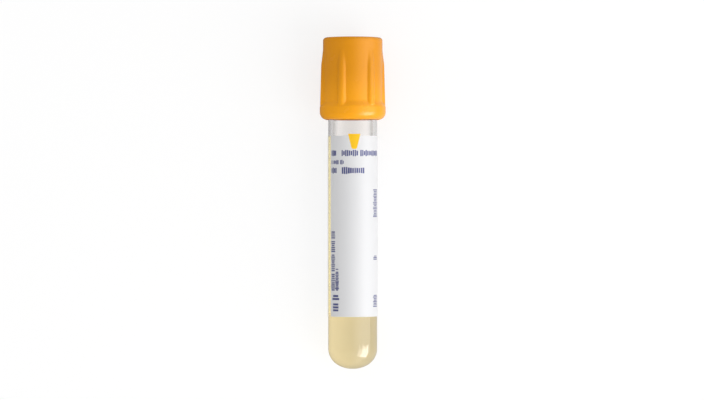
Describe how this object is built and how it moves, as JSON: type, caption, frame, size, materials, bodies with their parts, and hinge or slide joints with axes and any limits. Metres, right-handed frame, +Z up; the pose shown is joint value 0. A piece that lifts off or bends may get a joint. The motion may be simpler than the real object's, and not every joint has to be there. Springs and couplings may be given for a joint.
{
  "type": "blood collection tube",
  "caption": "Evacuated blood collection tube lying on its side: clear domed tube with separator gel, wrap label, and a ribbed safety closure over a rubber stopper that pulls off.",
  "frame": {"origin": "on the surface the capped tube lies on, under the middle of its bounding box", "axes": "+Z up, +Y along the tube towards its closure (the tube's own axis rises 2.06 degrees towards +Y, as it rests on its dome and on the closure's band), +X across"},
  "size_m": [0.0176, 0.0882, 0.0176],
  "materials": {
    "tube_plastic": "clear moulded polyester, glossy",
    "separator_gel": "beige gel, slightly cloudy",
    "label_film": "satin white film with plain printed bars",
    "stopper_rubber": "moulded butyl rubber",
    "shield_plastic": "satin moulded plastic, gold"
  },
  "bodies": {
    "tube_body": {"tube": "tube_plastic", "gel": "separator_gel", "label": "label_film"},
    "closure": {"shield": "shield_plastic", "stopper": "stopper_rubber"}
  },
  "joints": [
    {"name": "closure_pull", "type": "slide", "parent": "tube_body", "child": "closure", "axis": [0, 0.9994, 0.036], "range_m": [0, 0.03]}
  ]
}
